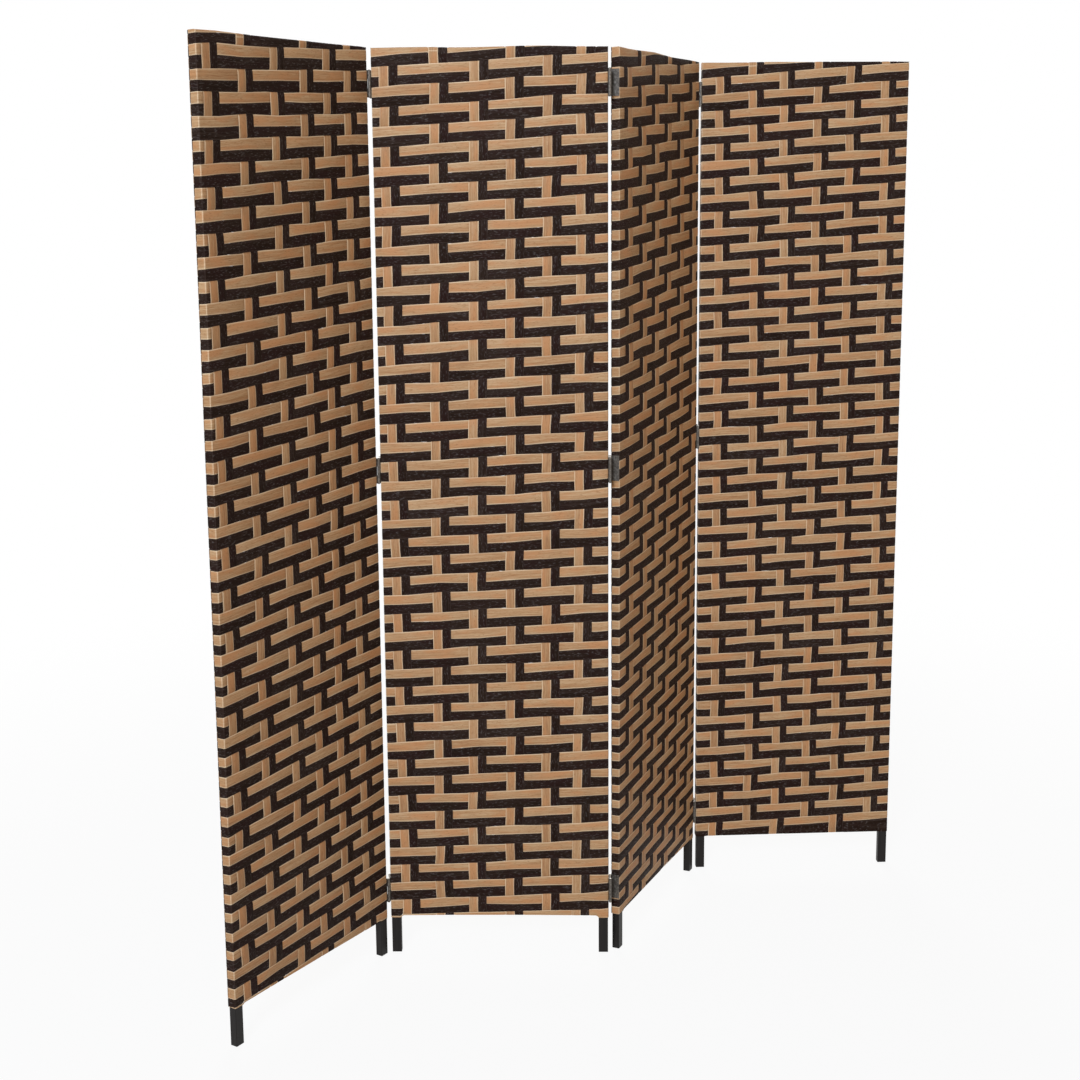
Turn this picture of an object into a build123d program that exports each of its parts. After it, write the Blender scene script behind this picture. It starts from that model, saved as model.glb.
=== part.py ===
from build123d import *
import math
import os

# Overall sizes in millimetres. Each panel stands in its own frame: x runs along its width from
# its left edge, y runs from its front face to its back face, and z is the height above the floor.
screen_height = 1800.0
panel_width = 444.0
leg_length = 75.0
panel_count = 4

# Woven paper mats that cover the frame on both sides
mat_thickness = 1.5
mat_corner_radius = 3.0

# Wooden frame inside each panel
stile_width = 19.0
stile_thickness = 15.0
stile_edge_radius = 1.0
rail_height = 30.0
bottom_rail_rise = 8.0  # above the lower edge of the mats

# Dowels that join the rails to the stiles
dowel_radius = 3.0
dowel_in_stile = 12.0
dowel_in_rail = 18.0
dowel_inset = 7.0  # from the rail's upper and lower edges
dowel_clearance = 0.05
dowel_hole_spare = 0.5

# Two-way hinges in the gap between two panels: a leaf on each panel and a link between them,
# with one pin in front of the faces and one pin behind them
hinge_height = 50.0
bottom_hinge_rise = 60.0  # above the lower edge of the mats
middle_hinge_drop = 800.0  # below the top
top_hinge_drop = 65.0  # below the top
leaf_thickness = 1.2
link_thickness = 1.2
pin_radius = 1.25
pin_running_clearance = 0.05
pin_head_radius = 2.0
pin_head_height = 0.8
knuckle_wall = 1.3
knuckle_end_gap = 0.3
knuckle_side_gap = 0.4
faces_apart_when_folded = 3.0

# Countersunk screws that hold the leaves
screw_length = 14.0
screw_shank_radius = 1.4
screw_head_radius = 2.6
screw_head_depth = 1.1
screw_tip_length = 3.0
screw_spacing = 17.0
screw_clearance = 0.1
screw_slot_width = 0.6
screw_slot_depth = 0.5

# How far each pair of panels is folded as the screen stands, in degrees. Panels 1 and 2 close
# towards the front about the front pins, 2 and 3 towards the back about the back pins, and
# 3 and 4 towards the front again.
front_folds = (58.0, 0.0, 62.0)
back_folds = (0.0, 66.0, 0.0)

# Sizes that follow from the ones above
panel_thickness = stile_thickness + 2 * mat_thickness
mat_height = screen_height - leg_length
frame_top = screen_height - mat_thickness
hinge_centres = (
    leg_length + bottom_hinge_rise,
    screen_height - middle_hinge_drop,
    screen_height - top_hinge_drop,
)
knuckle_bore = pin_radius + pin_running_clearance
knuckle_radius = knuckle_bore + knuckle_wall
panel_gap = 2 * (knuckle_radius + knuckle_side_gap)
pin_offset = faces_apart_when_folded / 2
knuckle_height = (hinge_height - 2 * knuckle_end_gap) / 3
front_pin = (panel_gap / 2, -pin_offset)
back_pin = (panel_gap / 2, panel_thickness + pin_offset)
swing_radius = knuckle_radius + knuckle_side_gap
leaf_setback = math.sqrt(swing_radius**2 - (panel_gap / 2 - leaf_thickness) ** 2) - pin_offset


def block(x, y, z):
    """A box between two limits along each axis."""
    size = Box(x[1] - x[0], y[1] - y[0], z[1] - z[0])
    return Pos((x[0] + x[1]) / 2, (y[0] + y[1]) / 2, (z[0] + z[1]) / 2) * size


def upright_rod(place, radius, z):
    """A vertical cylinder at a place in plan, between two heights."""
    return Pos(place[0], place[1], (z[0] + z[1]) / 2) * Cylinder(radius, z[1] - z[0])


def turned_about(place, angle):
    """A turn in plan about a vertical line."""
    return Pos(place[0], place[1], 0) * Rot(0, 0, angle) * Pos(-place[0], -place[1], 0)


# The hinges are drawn flat in the gap frame: x is 0 on the left panel's edge and panel_gap on the
# right panel's edge, and y and z are those of the panels. The right leaf is the left leaf turned
# by half a turn about the middle of the gap.
half_turn = turned_about((panel_gap / 2, panel_thickness / 2), 180)


def screw(clearance=0.0):
    """A countersunk screw along -X with its flat head on the plane x = 0, or the hole for it."""
    shank = screw_shank_radius + clearance
    outline = Polyline(
        (0, 0),
        (screw_head_radius + clearance, 0),
        (shank, -screw_head_depth),
        (shank, screw_tip_length - screw_length),
        (0, -screw_length - clearance),
        close=True,
    )
    body = revolve(make_face(Plane.XZ * outline), Axis.Z)
    if clearance == 0.0:
        slot = Box(2 * screw_head_radius, screw_slot_width, 2 * screw_slot_depth)
        body -= slot
        body -= Rot(0, 0, 90) * slot
    return Rot(0, 90, 0) * body


def screw_places(heights):
    """Where the screws of the left leaves sit in the gap frame."""
    rows = (-screw_spacing, 0.0, screw_spacing)
    return [Pos(leaf_thickness, panel_thickness / 2, h + r) for h in heights for r in rows]


def hinge_leaf():
    """The left leaf: a plate on the panel's edge, with two knuckles round the front pin."""
    half = hinge_height / 2
    plate_y = (leaf_setback, panel_thickness - leaf_setback)
    leaf = block((0, leaf_thickness), plate_y, (-half, half))
    for z in ((-half, knuckle_height - half), (half - knuckle_height, half)):
        leaf += block((0, leaf_thickness), (front_pin[1], leaf_setback), z)
        leaf += upright_rod(front_pin, knuckle_radius, z)
        leaf -= upright_rod(front_pin, knuckle_bore, z)
    for place in screw_places([0.0]):
        leaf -= place * screw(screw_clearance)
    return leaf


def hinge_link():
    """The plate between the leaves, with one knuckle round each pin."""
    half = hinge_height / 2
    middle = (-knuckle_height / 2, knuckle_height / 2)
    x = ((panel_gap - link_thickness) / 2, (panel_gap + link_thickness) / 2)
    link = block(x, (front_pin[1] + swing_radius, back_pin[1] - swing_radius), (-half, half))
    link += block(x, (front_pin[1], back_pin[1]), middle)
    for pin in (front_pin, back_pin):
        link += upright_rod(pin, knuckle_radius, middle)
    for pin in (front_pin, back_pin):
        link -= upright_rod(pin, knuckle_bore, middle)
    return link


def hinge_pin(place):
    """A pin with a peened head at each end."""
    half = hinge_height / 2
    pin = upright_rod(place, pin_radius, (-half, half))
    pin += upright_rod(place, pin_head_radius, (half, half + pin_head_height))
    pin += upright_rod(place, pin_head_radius, (-half - pin_head_height, -half))
    return pin


def at_each_hinge(shape):
    """Copies of one hinge piece, at the height of every hinge on a joint."""
    return [Pos(0, 0, height) * shape for height in hinge_centres]


def rail_spans():
    """The lowest and highest point of each rail, by name."""
    middle = (leg_length + frame_top) / 2
    bottom = leg_length + bottom_rail_rise
    return {
        "top_rail": (frame_top - rail_height, frame_top),
        "middle_rail": (middle - rail_height / 2, middle + rail_height / 2),
        "bottom_rail": (bottom, bottom + rail_height),
    }


rail_start = mat_thickness + stile_width
rail_end = panel_width - mat_thickness - stile_width
frame_y = (mat_thickness, mat_thickness + stile_thickness)


def dowels(clearance=0.0, spare=0.0):
    """Every rail dowel of a panel, or the holes for them."""
    made = []
    for low, high in rail_spans().values():
        for height in (low + dowel_inset, high - dowel_inset):
            for face, into_rail in ((rail_start, 1), (rail_end, -1)):
                near = face - into_rail * (dowel_in_stile + spare)
                far = face + into_rail * (dowel_in_rail + spare)
                rod = Rot(0, 90, 0) * Cylinder(dowel_radius + clearance, abs(far - near))
                place = Pos((near + far) / 2, sum(frame_y) / 2, height)
                made.append(place * rod)
    return made


def leaf_screw_holes(hinged_left, hinged_right):
    """The screw holes in a panel's edges, on the sides that carry hinges."""
    holes = []
    for place in screw_places(hinge_centres):
        hole = place * screw(screw_clearance)
        if hinged_right:
            holes.append(Pos(panel_width, 0, 0) * hole)
        if hinged_left:
            holes.append(Pos(-panel_gap, 0, 0) * half_turn * hole)
    return holes


def stile(x, cutters):
    """An upright of the frame, from the floor to the top mat."""
    post = block(x, frame_y, (0, frame_top))
    post = fillet(post.edges().filter_by(Axis.Z), stile_edge_radius)
    return post - cutters


def front_mat(holes):
    """The front mat, folded round both side edges and over the top edge."""
    outer = block((0, panel_width), (0, frame_y[1]), (leg_length, screen_height))
    rim = outer.faces().sort_by(Axis.Y)[0].edges().sort_by(Axis.Z)[1:]
    outer = fillet(rim, mat_corner_radius)
    inside_x = (mat_thickness, panel_width - mat_thickness)
    mat = outer - block(inside_x, frame_y, (leg_length, frame_top))
    return mat - holes if holes else mat


def back_mat():
    """The flat mat on the back."""
    return block((0, panel_width), (frame_y[1], panel_thickness), (leg_length, screen_height))


def panel(hinged_left, hinged_right):
    """All pieces of one panel in its own frame, by name."""
    sockets = dowels(dowel_clearance, dowel_hole_spare)
    holes = leaf_screw_holes(hinged_left, hinged_right)
    pieces = {
        "stile_left": stile((mat_thickness, rail_start), sockets + holes),
        "stile_right": stile((rail_end, panel_width - mat_thickness), sockets + holes),
    }
    for name, span in rail_spans().items():
        pieces[name] = block((rail_start, rail_end), frame_y, span) - sockets
    pieces["rail_dowels"] = dowels()
    pieces["front_mat"] = front_mat(holes)
    pieces["back_mat"] = back_mat()
    return pieces


def hinge_set():
    """All pieces of the three hinges of one joint in the flat gap frame, by name."""
    leaves = at_each_hinge(hinge_leaf())
    screws = [place * screw() for place in screw_places(hinge_centres)]
    return {
        "leaves_left": leaves,
        "front_pins": at_each_hinge(hinge_pin(front_pin)),
        "screws_left": screws,
        "links": at_each_hinge(hinge_link()),
        "leaves_right": [half_turn * leaf for leaf in leaves],
        "back_pins": at_each_hinge(hinge_pin(back_pin)),
        "screws_right": [half_turn * one for one in screws],
    }


LEFT_SIDE = ("leaves_left", "front_pins", "screws_left")
RIGHT_SIDE = ("leaves_right", "back_pins", "screws_right")


def panel_places():
    """Where each panel, gap and link stands when the first panel runs along X."""
    panels = [Location()]
    gaps = []
    links = []
    for front, back in zip(front_folds, back_folds):
        gaps.append(panels[-1] * Pos(panel_width, 0, 0))
        links.append(gaps[-1] * turned_about(front_pin, -front))
        panels.append(links[-1] * turned_about(back_pin, back) * Pos(panel_gap, 0, 0))
    return panels, gaps, links


def run_angle(panels):
    """The direction from the first panel's left edge to the last panel's right edge."""
    end = (panels[-1] * Pos(panel_width, 0, 0)).position
    return math.degrees(math.atan2(end.Y, end.X))


def assemble():
    """Every node with its solids in place, and the places of the panels, gaps and links."""
    panels, gaps, links = panel_places()
    nodes = {}
    for i, place in enumerate(panels):
        pieces = panel(i > 0, i < panel_count - 1)
        for name, piece in pieces.items():
            solids = piece if isinstance(piece, list) else [piece]
            nodes[f"panel_{i + 1}_{name}"] = [place * solid for solid in solids]
    for i, (gap, link) in enumerate(zip(gaps, links)):
        for name, solids in hinge_set().items():
            if name in LEFT_SIDE:
                place = gap
            elif name in RIGHT_SIDE:
                place = panels[i + 1] * Pos(-panel_gap, 0, 0)
            else:
                place = link
            nodes[f"hinge_{i + 1}{i + 2}_{name}"] = [place * solid for solid in solids]
    return nodes, panels, gaps, links


def main():
    os.makedirs("parts", exist_ok=True)
    nodes, panels, gaps, links = assemble()
    straight = Rot(0, 0, -run_angle(panels))
    everything = [straight * solid for solids in nodes.values() for solid in solids]
    box = Compound(children=everything).bounding_box()
    centred = Pos(-box.center().X, -box.center().Y, 0) * straight

    for name, solids in nodes.items():
        placed = [centred * solid for solid in solids]
        shape = placed[0] if len(placed) == 1 else Compound(children=placed)
        export_step(shape, f"parts/{name}.step")

    print("size", box.size)
    for i, place in enumerate(panels):
        spot = centred * place
        print("panel", i + 1, "corner", spot.position, "turned", spot.orientation.Z)
    for i, (gap, link) in enumerate(zip(gaps, links)):
        front = (centred * gap * Pos(*front_pin, 0)).position
        back = (centred * link * Pos(*back_pin, 0)).position
        print("front_pin", i + 1, front.X, front.Y)
        print("back_pin", i + 1, back.X, back.Y)


main()
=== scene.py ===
import math
import random

import bmesh
import bpy
from mathutils import Matrix, Vector, noise


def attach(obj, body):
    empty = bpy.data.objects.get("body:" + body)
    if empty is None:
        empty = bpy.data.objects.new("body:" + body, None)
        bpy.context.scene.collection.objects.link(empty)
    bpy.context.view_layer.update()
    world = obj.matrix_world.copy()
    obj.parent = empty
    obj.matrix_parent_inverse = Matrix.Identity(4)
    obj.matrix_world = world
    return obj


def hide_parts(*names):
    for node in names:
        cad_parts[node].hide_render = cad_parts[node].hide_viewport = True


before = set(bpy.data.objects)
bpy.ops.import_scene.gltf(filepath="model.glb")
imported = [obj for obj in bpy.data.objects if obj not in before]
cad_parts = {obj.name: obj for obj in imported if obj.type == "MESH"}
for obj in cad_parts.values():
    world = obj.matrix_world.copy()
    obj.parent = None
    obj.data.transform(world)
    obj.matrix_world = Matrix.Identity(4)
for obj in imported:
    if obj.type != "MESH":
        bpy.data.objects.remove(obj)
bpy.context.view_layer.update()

MM = 0.001

# Sizes of the part, in millimetres
PANEL_COUNT = 4
PANEL_WIDTH = 444.0
SCREEN_HEIGHT = 1800.0
PANEL_THICKNESS = 18.0
MAT_HEIGHT = 1725.0
MAT_THICKNESS = 1.5
FOLD_RADIUS = 3.0
SIDE_DEPTH = PANEL_THICKNESS - MAT_THICKNESS

# How each front mat is woven, in millimetres, measured on the photograph. "rows" is how far below
# the top edge, at mid width, every eleventh double row begins. "rise" is how steeply the rows
# climb to the right at the top, the middle and the bottom. "pairs" is where the seam edge of each
# warp pair lies from the left edge of the mat, at the top, the middle and the bottom. "last" is the
# first row that doesn't show above the lower edge, so the black strip above it runs to the edge.
FRONT_WEAVES = {
    1: {
        "rows": (14, 438, 861, 1274, 1678),
        "rise": (0.042, 0.060, 0.045),
        "tan": 19.6,
        "black": 17.5,
        "pairs": (
            (14, 11, 24),
            (96, 92, 93),
            (176, 175, 170),
            (255, 244, 239),
            (319, 303, 307),
            (376, 369, 370),
        ),
    },
    2: {
        "rows": (23, 432, 849, 1266, 1678),
        "rise": (0.054, 0.055, 0.038),
        "tan": 18.4,
        "black": 17.6,
        "pairs": (
            (14, 16, 25),
            (109, 98, 93),
            (185, 171, 159),
            (251, 244, 234),
            (322, 314, 307),
            (385, 378, 368),
        ),
    },
    3: {
        "rows": (20, 436, 841, 1229, 1598),
        "rise": (0.078, 0.075, 0.063),
        "tan": 22.0,
        "black": -18.0,
        "pairs": (
            (40, 51, 51),
            (111, 126, 125),
            (184, 191, 189),
            (256, 259, 257),
            (326, 336, 326),
            (398, 411, 394),
        ),
    },
    4: {
        "rows": (17, 407, 807, 1211, 1613),
        "rise": (0.069, 0.054, 0.043),
        "last": 47,
        "tan": 17.8,
        "black": 15.5,
        "pairs": (
            (28, 31, 30),
            (99, 110, 107),
            (164, 176, 169),
            (239, 241, 241),
            (309, 310, 306),
            (384, 389, 386),
        ),
    },
}
ROWS_MEASURED = 44
ROWS_LAID = range(-2, 49)
NO_LAST_ROW = 99
HIDDEN_DEPTH = 25.0

# How much higher the lower edge of each front mat runs between its legs, and the rounding there
ARCH_HEIGHTS = {1: 3.0, 2: 6.0, 3: 3.0, 4: 1.0}
LEG_SIDE = 20.5
CORNER_ROUNDING = 6.0
TRIMMED_DEPTH = 22.0

# Paper strips: how far below the face of the mat their middle lies, in millimetres
OVER = -0.25
UNDER = 0.85
ON_EDGE = 0.12
STRIP_THICKNESS = 0.35
HALF_GAP = 0.2
# How a strip that runs across dives under a warp pair: the distance outside the pair's edge, and
# the depth there. A strip also gets a point halfway where it lies on top for a long way.
DIVE = ((3.6, OVER), (1.6, 0.25), (-0.1, 0.75), (-2.0, UNDER))
LONG_WAY = 24.0
TYPICAL_RISE = 0.05
# How a warp strip runs over one double row: the share of the row, and the depth there
OVER_ROW = (
    (-0.015, UNDER),
    (0.045, 0.3),
    (0.095, OVER),
    (0.5, OVER - 0.1),
    (0.905, OVER),
    (0.955, 0.3),
    (1.015, UNDER),
)
# Across a strip: the share of its width, and how much lower it lies there
ACROSS = ((0.0, 0.42), (0.07, 0.12), (0.5, 0.0), (0.93, 0.12), (1.0, 0.42))


def along_curve(values, share):
    """The smooth curve through evenly spaced values, at a share of its length."""
    last = len(values) - 1
    total = 0.0
    for i, value in enumerate(values):
        weight = 1.0
        for j in range(len(values)):
            if j != i:
                weight *= (share * last - j) / (i - j)
        total += value * weight
    return total


def waver(size, *place):
    """A gentle wander of up to about that size, which is the same at each run."""
    return size * noise.noise(Vector(place))


class Weave:
    """Where the rows and the warp strips of one mat run, laid flat: s to the right, t down."""

    def __init__(self, plan, seed):
        self.plan = plan
        self.seed = seed

    def depth(self, row, s):
        """How far below the top edge a line between rows runs. Whole numbers begin a double row."""
        deep = along_curve(self.plan["rows"], row / ROWS_MEASURED)
        rise = along_curve(self.plan["rise"], deep / MAT_HEIGHT)
        wander = waver(3.2, s / 75, row * 2.7, self.seed)
        hidden = HIDDEN_DEPTH if row >= self.plan.get("last", NO_LAST_ROW) else 0.0
        return deep - rise * (s - PANEL_WIDTH / 2) + wander + hidden

    def seam(self, pair, t):
        """Where the seam between the two strips' outer edge of a warp pair lies."""
        place = along_curve(self.plan["pairs"][pair], t / MAT_HEIGHT)
        return place + waver(2.6, t / 60, pair * 3.3, self.seed + 40)

    def warp_strips(self):
        """The colour, start and width of the two strips in a pair, from its seam edge."""
        tan, black = self.plan["tan"], self.plan["black"]
        if black < 0:
            return (("tan", 0.0, tan), ("black", black, -black))
        return (("tan", 0.0, tan), ("black", tan, black))

    def pair_span(self, pair, t):
        """The left and right edge of a warp pair."""
        start = self.seam(pair, t)
        edges = [(start + a, start + a + w) for _, a, w in self.warp_strips()]
        return min(a for a, _ in edges), max(b for _, b in edges)

    def on_top(self, pair, row):
        """Whether a warp pair lies over that double row."""
        return (row + pair) % 2 == 0


def paper_strip(bm, uv, number, stations, place):
    """Adds one strip made from a grid, with a line of points at each station along it. A station
    is a distance and a depth; the strip's own UV runs along it, with its number in the tens."""
    lines = len(stations) - 1
    grid = bmesh.ops.create_grid(bm, x_segments=lines, y_segments=len(ACROSS) - 1, size=0.5)
    spots = {}
    for vert in grid["verts"]:
        station = stations[round((vert.co.x + 0.5) * lines)]
        share, dip = ACROSS[round((vert.co.y + 0.5) * (len(ACROSS) - 1))]
        vert.co = place(station[0], share, station[1] + dip)
        spots[vert] = (station[2] * MM, number * 0.1 + share * 0.02)
    for face in {face for vert in spots for face in vert.link_faces}:
        for loop in face.loops:
            loop[uv].uv = spots[loop.vert]


def weft_stations(weave, row, half, ends):
    """The stations of one weft strip, which dives under each warp pair that is on top."""
    t = weave.depth(row + half, PANEL_WIDTH / 2)
    stations = [(s, depth) for s, depth in ends if s < 5.0]
    last = stations[-1][0]
    for pair in range(len(weave.plan["pairs"])):
        if not weave.on_top(pair, row):
            continue
        left, right = weave.pair_span(pair, t + (PANEL_WIDTH / 2 - last) * TYPICAL_RISE)
        if left - last > LONG_WAY:
            stations.append(((left + last) / 2, OVER - 0.1))
        stations += [(left - outside, depth) for outside, depth in DIVE]
        stations += [(right + outside, depth) for outside, depth in reversed(DIVE)]
        last = right
    first_end = next(s for s, _ in ends if s > 5.0)
    if first_end - last > LONG_WAY:
        stations.append(((first_end + last) / 2, OVER - 0.1))
    stations = [one for one in stations if one[0] < first_end - 1.0]
    stations += [(s, depth) for s, depth in ends if s > 5.0]
    stations.sort()
    return [(s, depth, s) for s, depth in stations]


def lay_wefts(bm, uv, weave, colour, ends):
    """All weft strips of one colour, flat. Tan is the upper strip of a double row."""
    half = 0.0 if colour == "tan" else 0.5
    for row in ROWS_LAID:
        highest, lowest = weave.depth(row, PANEL_WIDTH), weave.depth(row + 1, PANEL_WIDTH)
        if highest > MAT_HEIGHT + 4 or lowest < -22:
            continue

        def place(s, share, depth, row=row):
            top = weave.depth(row + half, s) + HALF_GAP
            bottom = weave.depth(row + half + 0.5, s) - HALF_GAP
            lift = waver(0.08, s / 14, row * 1.9, weave.seed + 9)
            return (s, top + (bottom - top) * share, depth + lift)

        paper_strip(bm, uv, row + 3, weft_stations(weave, row, half, ends), place)


def lay_warps(bm, uv, weave, colour):
    """All warp strips of one colour, flat."""
    start, width = next((a, w) for name, a, w in weave.warp_strips() if name == colour)
    for pair in range(len(weave.plan["pairs"])):
        stations = []
        for row in ROWS_LAID:
            if not weave.on_top(pair, row):
                continue
            for share, depth in OVER_ROW:
                line = row + share
                stations.append((line, depth, weave.depth(line, PANEL_WIDTH / 2)))

        def place(line, share, depth, pair=pair):
            middle = weave.seam(pair, weave.depth(line, PANEL_WIDTH / 2)) + start
            s = middle + HALF_GAP + (width - 2 * HALF_GAP) * share
            lift = waver(0.08, line * 2.6, pair * 5.1, weave.seed + 17)
            return (s, weave.depth(line, s), depth + lift)

        paper_strip(bm, uv, pair + 60, stations, place)


def flat_geometry(bm, chosen=None):
    """The faces that are chosen, or all of them, with their edges and points."""
    faces = bm.faces[:] if chosen is None else [face for face in bm.faces if chosen(face)]
    edges = {edge_highlight_and_wear for face in faces for edge_highlight_and_wear in face.edges}
    verts = {vert for face in faces for vert in face.verts}
    return faces + list(edges) + list(verts)


def cut(bm, point, across, clear=False, chosen=None):
    """Cuts the flat mat along a line, and clears what lies on the side that across points to."""
    bmesh.ops.bisect_plane(
        bm,
        geom=flat_geometry(bm, chosen),
        plane_co=(point[0], point[1], 0),
        plane_no=(across[0], across[1], 0),
        clear_outer=clear,
    )


FOLD_END = FOLD_RADIUS - FOLD_RADIUS * math.pi / 2
FOLD_LINES = (FOLD_RADIUS, 1.8, 0.6, -0.6, FOLD_END)
SIDE_END = FOLD_END - (SIDE_DEPTH - FOLD_RADIUS)


def lower_lift(s, arch):
    """How much higher the lower edge of a front mat runs there than at its legs."""
    from_leg = min(s, PANEL_WIDTH - s) - LEG_SIDE
    if from_leg <= 0:
        return 0.0
    corner = min(1.0, from_leg / CORNER_ROUNDING)
    middle = 1 - (2 * s / PANEL_WIDTH - 1) ** 2
    return arch * (0.75 * corner * (2 - corner) + 0.25 * middle)


def trim_front(bm, arch):
    """Trims the flat front mat to its folds, and cuts its two upper corners away."""
    cut(bm, (0, SIDE_END), (0, -1), clear=True)
    for line in FOLD_LINES:
        cut(bm, (0, line), (0, -1), chosen=lambda face: face.calc_center_median().y < 30)
    corners = [
        face
        for face in bm.faces
        if face.calc_center_median().y < FOLD_END
        and not FOLD_END < face.calc_center_median().x < PANEL_WIDTH - FOLD_END
    ]
    bmesh.ops.delete(bm, geom=corners, context="FACES")
    cut(bm, (0, MAT_HEIGHT), (0, 1), clear=True)
    low = MAT_HEIGHT - TRIMMED_DEPTH
    for line in (LEG_SIDE, LEG_SIDE + CORNER_ROUNDING * 0.4, LEG_SIDE + CORNER_ROUNDING):
        for s in (line, PANEL_WIDTH - line):
            cut(bm, (s, 0), (1, 0), chosen=lambda face: face.calc_center_median().y > low)
    for vert in bm.verts:
        if vert.co.y > low:
            vert.co.y -= lower_lift(vert.co.x, arch) * (vert.co.y - low) / TRIMMED_DEPTH
    loose = [vert for vert in bm.verts if not vert.link_faces]
    bmesh.ops.delete(bm, geom=loose, context="VERTS")


def trim_back(bm):
    """Trims the flat back mat to its upper and lower edge."""
    cut(bm, (0, 0), (0, -1), clear=True)
    cut(bm, (0, MAT_HEIGHT), (0, 1), clear=True)


def round_edge(distance, depth):
    """How far in from a folded edge, and how far back, a point of the mat lies."""
    if distance >= FOLD_RADIUS:
        return distance, depth
    turn = (FOLD_RADIUS - distance) / FOLD_RADIUS
    if turn < math.pi / 2:
        reach = FOLD_RADIUS - depth
        return FOLD_RADIUS - reach * math.sin(turn), FOLD_RADIUS - reach * math.cos(turn)
    return depth, FOLD_RADIUS + FOLD_END - distance


def fold_front(point, panel):
    """A point of the flat front mat, folded round both side edges and over the top edge."""
    s, t, depth = point
    from_side = min(s, PANEL_WIDTH - s)
    if round_edge(from_side, 0)[1] >= round_edge(t, 0)[1]:
        x, y = round_edge(from_side, depth)
        z = round_edge(t, 0)[0]
    else:
        z, y = round_edge(t, depth)
        x = round_edge(from_side, 0)[0]
    if s > PANEL_WIDTH / 2:
        x = PANEL_WIDTH - x
    sag = 1.0 + waver(2.4, s / 120, t / 400, panel * 3.0)
    swell = max(0.0, min(1.0, (t + 30) / 30)) * max(0.0, 1 - t / 120)
    return (x, y, SCREEN_HEIGHT - z + sag * swell)


def place_back(point):
    """A point of the flat back mat, on the back of the panel, as seen from behind."""
    s, t, depth = point
    return (PANEL_WIDTH - s, PANEL_THICKNESS - depth, SCREEN_HEIGHT - t)


def panel_place(number):
    """Where a panel stands: a matrix from its own frame, in millimetres, read from its back mat."""
    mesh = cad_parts[f"panel_{number}_back_mat"].data
    back = max(mesh.polygons, key=lambda face: face.area).normal.copy()
    if back.y < 0:
        back = -back
    right = Vector((back.y, -back.x, 0))
    left_edge = min(vert.co.dot(right) for vert in mesh.vertices)
    back_face = max(vert.co.dot(back) for vert in mesh.vertices)
    corner = right * left_edge + back * (back_face - PANEL_THICKNESS * MM)
    turned = Matrix((right, back, (0, 0, 1))).transposed().to_4x4()
    return Matrix.Translation(corner) @ turned @ Matrix.Scale(MM, 4)


def finish_piece(bm, name, body, material):
    """A finished piece from a mesh that is already in place, in metres."""
    bmesh.ops.recalc_face_normals(bm, faces=bm.faces[:])
    mesh = bpy.data.meshes.new(name)
    bm.to_mesh(mesh)
    bm.free()
    for face in mesh.polygons:
        face.use_smooth = True
    mesh.set_sharp_from_angle(angle=math.radians(50))
    mesh.materials.append(material)
    piece = bpy.data.objects.new(name, mesh)
    bpy.context.scene.collection.objects.link(piece)
    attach(piece, body)
    return piece


FRONT_ENDS = (
    [(SIDE_END, ON_EDGE), (-8.0, ON_EDGE)]
    + [(line, ON_EDGE) for line in reversed(FOLD_LINES)]
    + [(PANEL_WIDTH - line, ON_EDGE) for line in FOLD_LINES]
    + [(PANEL_WIDTH + 8.0, ON_EDGE), (PANEL_WIDTH - SIDE_END, ON_EDGE)]
)
BACK_ENDS = [(0.0, ON_EDGE), (3.0, OVER), (PANEL_WIDTH - 3.0, OVER), (PANEL_WIDTH, ON_EDGE)]


def weave_mat(panel, side, weave, finishes):
    """The four pieces of one woven mat: the tan and black strips that run across and down."""
    to_place = panel_place(panel)
    for colour in ("tan", "black"):
        for run in ("wefts", "warps"):
            bm = bmesh.new()
            uv = bm.loops.layers.uv.new("strip")
            if run == "wefts":
                lay_wefts(bm, uv, weave, colour, FRONT_ENDS if side == "front" else BACK_ENDS)
            else:
                lay_warps(bm, uv, weave, colour)
            if side == "front":
                trim_front(bm, ARCH_HEIGHTS[panel])
            else:
                trim_back(bm)
            thick = bmesh.ops.extrude_face_region(bm, geom=bm.faces[:], use_keep_orig=True)
            for vert in (one for one in thick["geom"] if isinstance(one, bmesh.types.BMVert)):
                vert.co.z += STRIP_THICKNESS
            for vert in bm.verts:
                folded = fold_front(vert.co, panel) if side == "front" else place_back(vert.co)
                vert.co = to_place @ Vector(folded)
            name = f"panel_{panel}_{side}_{colour}_{run}"
            piece = finish_piece(bm, name, f"panel_{panel}", finishes[colour, run])
            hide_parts(f"panel_{panel}_{side}_mat")


class Wire:
    """A value in a material. Sums and products with it add Math nodes."""

    def __init__(self, finish, socket):
        self.finish = finish
        self.socket = socket

    def math(self, operation, *values):
        inputs = dict(enumerate(values))
        return self.finish.node("ShaderNodeMath", {"operation": operation}, inputs)

    def __add__(self, other):
        return self.math("ADD", self, other)

    def __radd__(self, other):
        return self.math("ADD", other, self)

    def __sub__(self, other):
        return self.math("SUBTRACT", self, other)

    def __rsub__(self, other):
        return self.math("SUBTRACT", other, self)

    def __mul__(self, other):
        return self.math("MULTIPLY", self, other)

    def __rmul__(self, other):
        return self.math("MULTIPLY", other, self)

    def floor(self):
        return self.math("FLOOR", self)

    def size(self):
        return self.math("ABSOLUTE", self)

    def fraction(self):
        return self.math("FRACT", self)

    def least(self, other):
        return self.math("MINIMUM", self, other)

    def most(self, other):
        return self.math("MAXIMUM", self, other)

    def between(self, low, high):
        """0 below low, 1 above high, and smooth between them."""
        settings = {"interpolation_type": "SMOOTHSTEP"}
        inputs = {"Value": self, "From Min": low, "From Max": high}
        return self.finish.node("ShaderNodeMapRange", settings, inputs)


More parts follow.
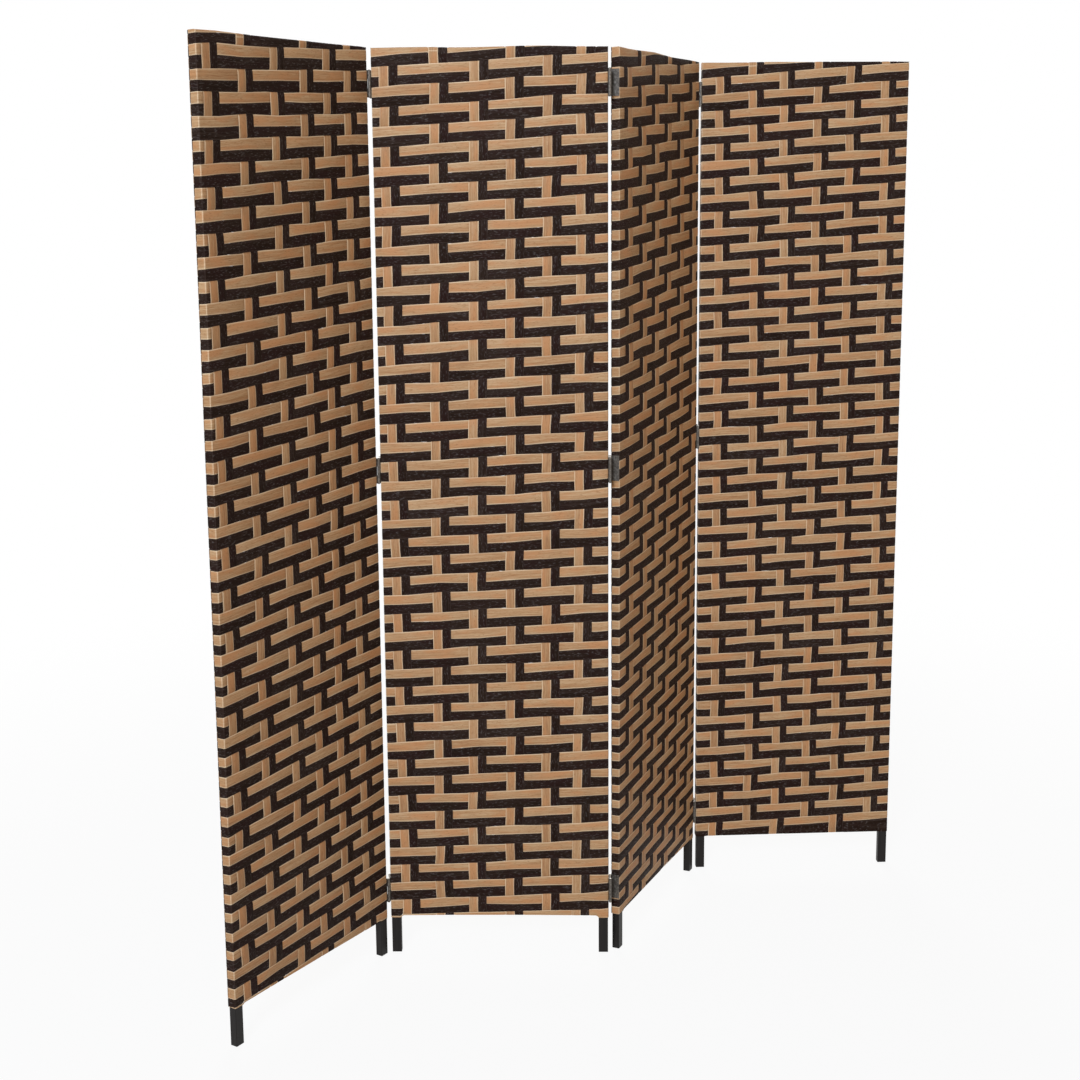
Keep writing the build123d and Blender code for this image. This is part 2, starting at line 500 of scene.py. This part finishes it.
class Finish:
    """A new material, or another owner of shading nodes, and the nodes that are added to it."""

    def __init__(self, name, owner=None):
        self.material = owner or bpy.data.materials.new(name)
        self.material.use_nodes = True
        self.tree = self.material.node_tree
        self.tree.nodes.clear()

    def node(self, kind, settings, inputs, output=0):
        """Adds a node: its settings first, then the values or links of its sockets."""
        node = self.tree.nodes.new(kind)
        for name, value in settings.items():
            if name == "stops":
                ramp = node.color_ramp.elements
                while len(ramp) < len(value):
                    ramp.new(0.5)
                for stop, (place, colour) in zip(ramp, value):
                    stop.position = place
                    stop.color = (*colour, 1)
            else:
                setattr(node, name, value)
        for name, value in inputs.items():
            if isinstance(value, Wire):
                self.tree.links.new(value.socket, node.inputs[name])
            else:
                node.inputs[name].default_value = value
        return Wire(self, node.outputs[output] if node.outputs else None)

    def vector(self, x, y, z):
        return self.node("ShaderNodeCombineXYZ", {}, {"X": x, "Y": y, "Z": z})

    def noise(self, vector, scale=1.0, detail=2.0, roughness=0.5):
        inputs = {"Vector": vector, "Scale": scale, "Detail": detail, "Roughness": roughness}
        return self.node("ShaderNodeTexNoise", {}, inputs)

    def mix(self, factor, first, second):
        """A colour between two colours."""
        first = first if isinstance(first, Wire) else (*first, 1)
        second = second if isinstance(second, Wire) else (*second, 1)
        return self.node("ShaderNodeMix", {"data_type": "RGBA"}, {0: factor, 6: first, 7: second}, 2)

    def bump(self, height, strength, distance):
        inputs = {"Height": height, "Strength": strength, "Distance": distance}
        return self.node("ShaderNodeBump", {}, inputs)

    def surface(self, inputs):
        shader = self.node("ShaderNodeBsdfPrincipled", {}, inputs)
        self.node("ShaderNodeOutputMaterial", {}, {"Surface": shader})
        return self.material

    def strip_place(self):
        """How far along its strip a point is, the share of the width, and the strip's number."""
        place = self.node("ShaderNodeUVMap", {"uv_map": "strip"}, {})
        parts = self.node("ShaderNodeSeparateXYZ", {}, {"Vector": place})
        along = parts
        across = Wire(self, parts.socket.node.outputs["Y"])
        number = (across * 10 + 0.01).floor()
        return along, (across * 10 - number) * 5, number


def paper_finish(name, stops, blush, edge_highlight_and_wear, fleck, roughness, crumple, gloss):
    """Fibrous paper strip: streaks and flecks along it, patches of another hue, a painted highlight
    along its edges, and a pale line where it folds round the edge of the panel, partly painted
    highlight and partly rubbed wear."""
    paper = Finish(name)
    along, share, number = paper.strip_place()
    fibres = paper.noise(paper.vector(along * 45, share * 26, number * 7.3), detail=3, roughness=0.65)
    streaks = paper.noise(paper.vector(along * 14, share * 8, number * 3.7 + 50), detail=2)
    patches = paper.noise(paper.vector(along * 16, share * 1.0, number * 5.9 + 90), detail=2)
    tone = paper.node("ShaderNodeTexWhiteNoise", {"noise_dimensions": "1D"}, {"W": number})
    shade = fibres * 0.7 + streaks * 0.45 + tone * 0.1 - 0.13
    colour = paper.node("ShaderNodeValToRGB", {"stops": stops}, {"Fac": shade})
    colour = paper.mix(patches.between(0.42, 0.68) * 0.75, colour, blush)
    flecks = paper.noise(paper.vector(along * 150, share * 9, number * 9.1 + 20), detail=2)
    colour = paper.mix(flecks.between(0.54, 0.74) * 0.65, colour, fleck)
    # Painted highlight: the strip's edges are mixed toward a paler colour, as where they catch the
    # light
    painted_edge_highlight = 1 - share.least(1 - share).between(0.045, 0.115)
    colour = paper.mix(painted_edge_highlight * (streaks * 1.2 - 0.05), colour, edge_highlight_and_wear)
    # Painted highlight along the fold round the panel's edge, partly rubbed wear
    from_fold = (along - 0.0007).size()
    fold_highlight_and_wear = 1 - from_fold.between(0.0005, 0.0017)
    colour = paper.mix(fold_highlight_and_wear * (streaks * 0.9), colour, edge_highlight_and_wear)
    wrinkles = paper.noise(paper.vector(along * 260, share * 9, number * 4.3 + 70), detail=3)
    height = fibres * 0.5 + wrinkles * crumple
    return paper.surface(
        {
            "Base Color": colour,
            "Roughness": roughness + (wrinkles - 0.5) * 0.5,
            "Normal": paper.bump(height, 0.6, 0.0009),
            "Specular IOR Level": gloss,
            "Specular Tint": (1.0, 0.86, 0.74, 1),
        }
    )


def object_place(finish, turn=0.0, stretch=(1.0, 1.0, 1.0)):
    """A point of the object, turned and stretched so that a grain runs along a piece."""
    place = finish.node("ShaderNodeTexCoord", {}, {}, "Object")
    turned = {"Vector": place, "Rotation": (0, 0, -turn), "Scale": (1.0, 1.0, 1.0)}
    straight = finish.node("ShaderNodeMapping", {}, turned)
    return finish.node("ShaderNodeMapping", {}, {"Vector": straight, "Scale": stretch})


def painted_wood():
    """Black painted wood: fine upright grain under the paint, rubbed a little paler in places."""
    wood = Finish("black_painted_wood")
    grain = wood.noise(object_place(wood, stretch=(420, 420, 9)), detail=4, roughness=0.6)
    fold_highlight_and_wear = wood.noise(object_place(wood, stretch=(60, 60, 14)), detail=3)
    stops = ((0.3, (0.005, 0.004, 0.0035)), (0.7, (0.014, 0.011, 0.009)))
    colour = wood.node("ShaderNodeValToRGB", {"stops": stops}, {"Fac": grain})
    colour = wood.mix(fold_highlight_and_wear.between(0.62, 0.8) * 0.4, colour, (0.04, 0.032, 0.027))
    return wood.surface(
        {
            "Base Color": colour,
            "Roughness": 0.36 + grain * 0.22,
            "Normal": wood.bump(grain, 0.35, 0.0005),
            "Specular IOR Level": 0.2,
        }
    )


def plain_wood(name, turn, pale, dark):
    """Unpainted wood whose grain runs along the panel: growth lines and fine pores."""
    wood = Finish(name)
    wide = wood.noise(object_place(wood, turn, (5, 70, 70)), detail=3, roughness=0.55)
    pores = wood.noise(object_place(wood, turn, (40, 900, 900)), detail=2)
    lines = (wide * 9).fraction()
    shade = lines * 0.5 + pores * 0.35 + wide * 0.2
    stops = ((0.2, dark), (0.75, pale))
    colour = wood.node("ShaderNodeValToRGB", {"stops": stops}, {"Fac": shade})
    return wood.surface(
        {
            "Base Color": colour,
            "Roughness": 0.5 + pores * 0.2,
            "Normal": wood.bump(pores + lines * 0.3, 0.3, 0.0005),
        }
    )


def plated_steel(name, colour, worn, roughness):
    """Zinc-plated steel: a faint crystalline mottle and a fine rubbed texture all over."""
    steel = Finish(name)
    mottle = steel.noise(object_place(steel), scale=260, detail=3, roughness=0.65)
    fine = steel.noise(object_place(steel), scale=1900, detail=2)
    return steel.surface(
        {
            "Base Color": steel.mix(mottle.between(0.35, 0.7), colour, worn),
            "Metallic": 1.0,
            "Roughness": roughness + mottle * 0.18 + fine * 0.08,
            "Normal": steel.bump(fine, 0.2, 0.0002),
        }
    )


TAN_STOPS = (
    (0.18, (0.180, 0.068, 0.026)),
    (0.38, (0.372, 0.190, 0.080)),
    (0.55, (0.480, 0.290, 0.142)),
    (0.8, (0.590, 0.415, 0.245)),
)
TAN_WARP_STOPS = (
    (0.18, (0.165, 0.060, 0.024)),
    (0.38, (0.345, 0.168, 0.070)),
    (0.55, (0.450, 0.262, 0.124)),
    (0.8, (0.560, 0.385, 0.225)),
)
TAN_BLUSH = (0.49, 0.225, 0.09)
BLACK_STOPS = (
    (0.25, (0.006, 0.0026, 0.0014)),
    (0.5, (0.018, 0.0092, 0.0058)),
    (0.85, (0.066, 0.046, 0.037)),
)
BLACK_BLUSH = (0.019, 0.0078, 0.0066)
BLACK_FLECK = (0.105, 0.088, 0.080)
TAN_FLECK = (0.30, 0.14, 0.055)
# Paler colours painted along strip edges and folds: painted highlights, partly rubbed wear at the
# folds
PALE_HIGHLIGHT_AND_WEAR = (0.76, 0.59, 0.38)
GREY_HIGHLIGHT_AND_WEAR = (0.045, 0.030, 0.024)


# Pale and dark wood
PINE = ((0.62, 0.43, 0.23), (0.42, 0.25, 0.11))
BEECH = ((0.58, 0.38, 0.21), (0.44, 0.25, 0.12))


def dress_panels():
    """The woven mats of every panel. The back mats' weaves are drawn by lot from a seed."""
    tan = (TAN_BLUSH, PALE_HIGHLIGHT_AND_WEAR, TAN_FLECK, 0.56, 0.5, 0.28)
    black = (BLACK_BLUSH, GREY_HIGHLIGHT_AND_WEAR, BLACK_FLECK, 0.56, 1.0, 0.05)
    finishes = {
        ("tan", "wefts"): paper_finish("tan_paper_across", TAN_STOPS, *tan),
        ("tan", "warps"): paper_finish("tan_paper_down", TAN_WARP_STOPS, *tan),
        ("black", "wefts"): paper_finish("black_paper_across", BLACK_STOPS, *black),
        ("black", "warps"): paper_finish("black_paper_down", BLACK_STOPS, *black),
    }
    chance = random.Random(12)
    for panel in range(1, PANEL_COUNT + 1):
        weave_mat(panel, "front", Weave(FRONT_WEAVES[panel], panel * 11.7), finishes)
        plan = {
            "rows": tuple(18 + 413 * i + chance.uniform(-7, 7) for i in range(5)),
            "rise": tuple(chance.uniform(0.045, 0.065) for _ in range(3)),
            "tan": 18.8,
            "black": 17.0,
            "pairs": tuple(
                tuple(19 + 73.5 * i + chance.uniform(-6, 6) for _ in range(3)) for i in range(6)
            ),
        }
        weave_mat(panel, "back", Weave(plan, panel * 11.7 + 200), finishes)


def dress_frame():
    """Finishes for the solids that stay as the part has them."""
    black = painted_wood()
    zinc = plated_steel("zinc_plate", (0.095, 0.083, 0.072), (0.20, 0.18, 0.155), 0.40)
    pins = plated_steel("pin_steel", (0.13, 0.12, 0.105), (0.26, 0.24, 0.21), 0.32)
    screws = plated_steel("screw_steel", (0.15, 0.14, 0.12), (0.26, 0.24, 0.21), 0.36)
    woods = {}
    for panel in range(1, PANEL_COUNT + 1):
        right = panel_place(panel).to_3x3() @ Vector((1, 0, 0))
        turn = math.atan2(right.y, right.x)
        woods["rail", panel] = plain_wood(f"pine_{panel}", turn, *PINE)
        woods["rail_dowels", panel] = plain_wood(f"beech_{panel}", turn, *BEECH)
    for name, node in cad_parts.items():
        words = name.split("_")
        if "mat" in words:
            continue
        if "stile" in words:
            finish = black
        elif "rail" in words:
            kind = "rail_dowels" if "dowels" in words else "rail"
            finish = woods[kind, int(words[1])]
        elif "pins" in words:
            finish = pins
        elif "screws" in words:
            finish = screws
        else:
            finish = zinc
        node.data.materials.clear()
        node.data.materials.append(finish)


def white_to_the_eye(finish):
    """1 for rays that show a background: straight from the camera, mirrored or through glass."""
    rays = finish.node("ShaderNodeLightPath", {}, {})
    outputs = rays.socket.node.outputs
    seen = [Wire(finish, outputs[n]) for n in ("Is Camera Ray", "Is Glossy Ray")]
    through = Wire(finish, outputs["Is Transmission Ray"])
    return seen[0].most(seen[1]).most(through)


def make_floor():
    """A pale floor that keeps the screen's shadow near it and fades to white further out."""
    bm = bmesh.new()
    bmesh.ops.create_circle(bm, cap_ends=True, radius=40, segments=96)
    mesh = bpy.data.meshes.new("floor")
    bm.to_mesh(mesh)
    bm.free()
    floor = bpy.data.objects.new("floor", mesh)
    bpy.context.scene.collection.objects.link(floor)
    paint = Finish("pale_floor")
    place = paint.node("ShaderNodeTexCoord", {}, {}, "Object")
    distance = paint.node("ShaderNodeVectorMath", {"operation": "LENGTH"}, {0: place}, "Value")
    fade = distance.between(0.8, 3.2) * 0.07 + 0.93
    matt = paint.node("ShaderNodeBsdfDiffuse", {}, {"Color": (0.50, 0.50, 0.50, 1)})
    white = paint.node("ShaderNodeEmission", {}, {"Color": (1, 1, 1, 1), "Strength": 1.0})
    factor = white_to_the_eye(paint) * fade
    shader = paint.node("ShaderNodeMixShader", {}, {0: factor, 1: matt, 2: white})
    paint.node("ShaderNodeOutputMaterial", {}, {"Surface": shader})
    mesh.materials.append(paint.material)


def make_world(level, tint):
    """Even soft light from all round, with a white background."""
    world = bpy.data.worlds.new("studio")
    bpy.context.scene.world = world
    studio = Finish("studio", world)
    seen = white_to_the_eye(studio)
    inputs = {"Color": studio.mix(seen, tint, (1, 1, 1)), "Strength": seen * (1 - level) + level}
    background = studio.node("ShaderNodeBackground", {}, inputs)
    studio.node("ShaderNodeOutputWorld", {}, {"Surface": background})


def soft_lamp(name, place, target, size, power, colour=(1, 1, 1)):
    """A round lamp that is aimed at a point."""
    lamp = bpy.data.lights.new(name, "AREA")
    lamp.shape = "DISK"
    lamp.size = size
    lamp.energy = power
    lamp.color = colour
    stand = bpy.data.objects.new(name, lamp)
    stand.location = place
    stand.rotation_euler = (Vector(target) - Vector(place)).to_track_quat("-Z", "Y").to_euler()
    bpy.context.scene.collection.objects.link(stand)


def make_camera():
    """The photograph's viewpoint."""
    data = bpy.data.cameras.new("camera")
    data.sensor_width = 36.0
    data.lens = 54.2
    data.shift_y = -0.07
    data.clip_start = 0.05
    data.clip_end = 200
    camera = bpy.data.objects.new("camera", data)
    camera.location = (-1.7131, -2.7375, 1.5319)
    aim = Matrix.Rotation(math.radians(-30.797), 4, "Z") @ Matrix.Rotation(
        math.radians(90 - 9.493), 4, "X"
    )
    camera.rotation_euler = (aim @ Matrix.Rotation(math.radians(-0.44), 4, "Z")).to_euler()
    bpy.context.scene.collection.objects.link(camera)
    bpy.context.scene.camera = camera


make_camera()
make_floor()
make_world(0.28, (1.0, 0.91, 0.80))
soft_lamp("left_lamp", (-6.4, -5.9, 5.6), (0.2, 0.0, 1.2), 2.8, 790, (0.93, 1.02, 1.19))
soft_lamp("right_lamp", (3.4, -2.8, 2.2), (0.1, 0.0, 0.9), 2.0, 17, (1.0, 0.66, 0.38))
soft_lamp("back_lamp", (2.6, 5.2, 3.4), (0.0, 0.0, 1.0), 2.6, 260)
dress_panels()
dress_frame()

bpy.context.scene.view_settings.view_transform = "Standard"
